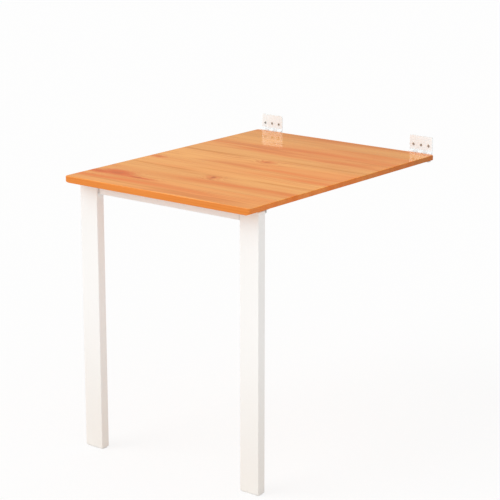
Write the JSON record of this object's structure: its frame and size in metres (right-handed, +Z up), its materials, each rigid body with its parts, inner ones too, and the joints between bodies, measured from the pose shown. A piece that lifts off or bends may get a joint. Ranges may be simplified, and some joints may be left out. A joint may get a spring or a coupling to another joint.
{
  "type": "wall mounted drop leaf table",
  "caption": "Wall mounted folding table: a varnished board top on hinged wall plates lifts up against the wall, and a white leg frame folds flat under it.",
  "frame": {"origin": "on the wall plane, midway between the two wall hinges, at the height of their wall screws", "axes": "+X to the right along the wall, +Y into the wall, +Z up"},
  "size_m": [0.6, 0.8091, 0.785],
  "materials": {
    "varnished_wood": "clear gloss varnish over pine boards",
    "white_painted_wood": "satin white paint",
    "beech_dowel": "bare",
    "white_coated_steel": "white powder coat",
    "pin_steel": "zinc plated",
    "screw_steel": "zinc plated",
    "white_plastic": "moulded",
    "black_rubber": "matte"
  },
  "bodies": {
    "wall_plates": {"wall_leaf_left": "white_coated_steel", "wall_leaf_right": "white_coated_steel", "wall_hinge_pin_left": "white_coated_steel", "wall_hinge_pin_right": "white_coated_steel"},
    "tabletop": {"top_board_1": "varnished_wood", "top_board_2": "varnished_wood", "top_board_3": "varnished_wood", "top_board_4": "varnished_wood", "top_board_5": "varnished_wood", "top_board_6": "varnished_wood", "top_board_7": "varnished_wood", "table_leaf_left": "white_coated_steel", "table_leaf_right": "white_coated_steel", "table_leaf_screws_left": "screw_steel", "table_leaf_screws_right": "screw_steel", "leg_hinge_top_leaf_left": "white_coated_steel", "leg_hinge_top_leaf_right": "white_coated_steel", "leg_hinge_top_screws_left": "screw_steel", "leg_hinge_top_screws_right": "screw_steel", "leg_hinge_pin_left": "pin_steel", "leg_hinge_pin_right": "pin_steel", "leg_bumper_left": "black_rubber", "leg_bumper_right": "black_rubber"},
    "leg_frame": {"leg_left": "white_painted_wood", "leg_right": "white_painted_wood", "crossbar": "white_painted_wood", "crossbar_dowels_left": "beech_dowel", "crossbar_dowels_right": "beech_dowel", "foot_glide_left": "white_plastic", "foot_glide_right": "white_plastic", "leg_hinge_leg_leaf_left": "white_coated_steel", "leg_hinge_leg_leaf_right": "white_coated_steel", "leg_hinge_leg_screws_left": "screw_steel", "leg_hinge_leg_screws_right": "screw_steel"}
  },
  "joints": [
    {"name": "leaf_fold", "type": "hinge", "parent": "wall_plates", "child": "tabletop", "pos_m": [0, -0.00455, -0.02], "axis": [-1, 0, 0], "range_deg": [0, 90]},
    {"name": "leg_fold", "type": "hinge", "parent": "tabletop", "child": "leg_frame", "pos_m": [0, -0.73275, -0.04235], "axis": [1, 0, 0], "range_deg": [0, 90]}
  ]
}
